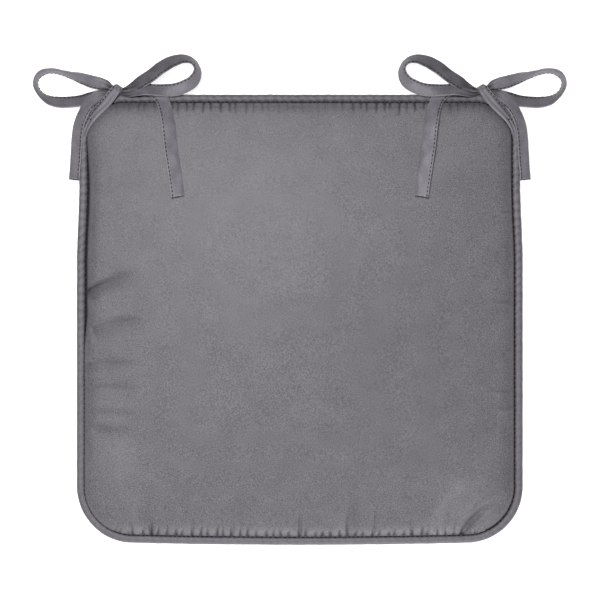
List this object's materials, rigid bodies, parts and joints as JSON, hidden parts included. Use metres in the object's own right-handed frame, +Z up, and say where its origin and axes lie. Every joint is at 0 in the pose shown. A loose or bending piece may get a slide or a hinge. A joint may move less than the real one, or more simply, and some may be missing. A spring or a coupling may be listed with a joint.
{
  "type": "chair seat pad",
  "caption": "Square grey fabric chair seat pad with a foam core, piped edge, rounded corners and a tie bow at each rear corner.",
  "frame": {"origin": "middle of the flat underside, on the surface that the pad lies on", "axes": "+Z up through the pad, +Y towards the rear edge with the tie bows, X across the width; X = 0 is the mirror plane"},
  "size_m": [0.48, 0.4405, 0.0254],
  "materials": {
    "cover_fabric": "cool mid grey woven polyester microfibre, fine low-sheen grain",
    "tie_tape": "the same grey microfibre, folded to a narrow tape and edge stitched",
    "sewing_thread": "grey spun polyester sewing thread",
    "piping_cord": "off-white braided filler cord, hidden in the piping",
    "foam": "cream open-cell polyurethane foam, hidden in the cover"
  },
  "bodies": {
    "pad": {"top_panel": "cover_fabric", "bottom_panel": "cover_fabric", "piping_sleeve": "cover_fabric", "piping_cord": "piping_cord", "foam_core": "foam", "seam_thread_top": "sewing_thread", "seam_thread_bottom": "sewing_thread", "left_tie_root": "tie_tape", "left_tie_tack": "sewing_thread", "left_tie_knot": "tie_tape", "left_outer_loop_upper_throat": "tie_tape", "left_outer_loop_lower_throat": "tie_tape", "left_outer_tail_throat": "tie_tape", "left_inner_tail_throat": "tie_tape", "right_tie_root": "tie_tape", "right_tie_tack": "sewing_thread", "right_tie_knot": "tie_tape", "right_outer_loop_upper_throat": "tie_tape", "right_outer_loop_lower_throat": "tie_tape", "right_outer_tail_throat": "tie_tape", "right_inner_tail_throat": "tie_tape"},
    "left_outer_loop": {"left_outer_loop": "tie_tape"},
    "left_inner_loop": {"left_inner_loop": "tie_tape"},
    "left_outer_tail": {"left_outer_tail": "tie_tape"},
    "left_inner_tail": {"left_inner_tail": "tie_tape"},
    "right_outer_loop": {"right_outer_loop": "tie_tape"},
    "right_inner_loop": {"right_inner_loop": "tie_tape"},
    "right_outer_tail": {"right_outer_tail": "tie_tape"},
    "right_inner_tail": {"right_inner_tail": "tie_tape"}
  },
  "joints": [
    {"name": "left_outer_loop_lift", "type": "hinge", "parent": "pad", "child": "left_outer_loop", "pos_m": [-0.1974, 0.207, 0.0122], "axis": [0.0896, 0.996, 0], "range_deg": [0, 75]},
    {"name": "left_inner_loop_lift", "type": "hinge", "parent": "pad", "child": "left_inner_loop", "pos_m": [-0.157, 0.2052, 0.016], "axis": [0.2095, -0.9778, 0], "range_deg": [0, 75]},
    {"name": "left_outer_tail_lift", "type": "hinge", "parent": "pad", "child": "left_outer_tail", "pos_m": [-0.185, 0.1984, 0.0122], "axis": [-0.7779, 0.6283, 0], "range_deg": [0, 80]},
    {"name": "left_inner_tail_lift", "type": "hinge", "parent": "pad", "child": "left_inner_tail", "pos_m": [-0.1212, 0.1963, 0.0178], "axis": [-0.9292, -0.3697, 0], "range_deg": [0, 80]},
    {"name": "right_outer_loop_lift", "type": "hinge", "parent": "pad", "child": "right_outer_loop", "pos_m": [0.1974, 0.207, 0.0122], "axis": [0.0896, -0.996, 0], "range_deg": [0, 75]},
    {"name": "right_inner_loop_lift", "type": "hinge", "parent": "pad", "child": "right_inner_loop", "pos_m": [0.157, 0.2052, 0.016], "axis": [0.2095, 0.9778, 0], "range_deg": [0, 75]},
    {"name": "right_outer_tail_lift", "type": "hinge", "parent": "pad", "child": "right_outer_tail", "pos_m": [0.185, 0.1984, 0.0122], "axis": [-0.7779, -0.6283, 0], "range_deg": [0, 80]},
    {"name": "right_inner_tail_lift", "type": "hinge", "parent": "pad", "child": "right_inner_tail", "pos_m": [0.1212, 0.1963, 0.0178], "axis": [-0.9292, 0.3697, 0], "range_deg": [0, 80]}
  ]
}
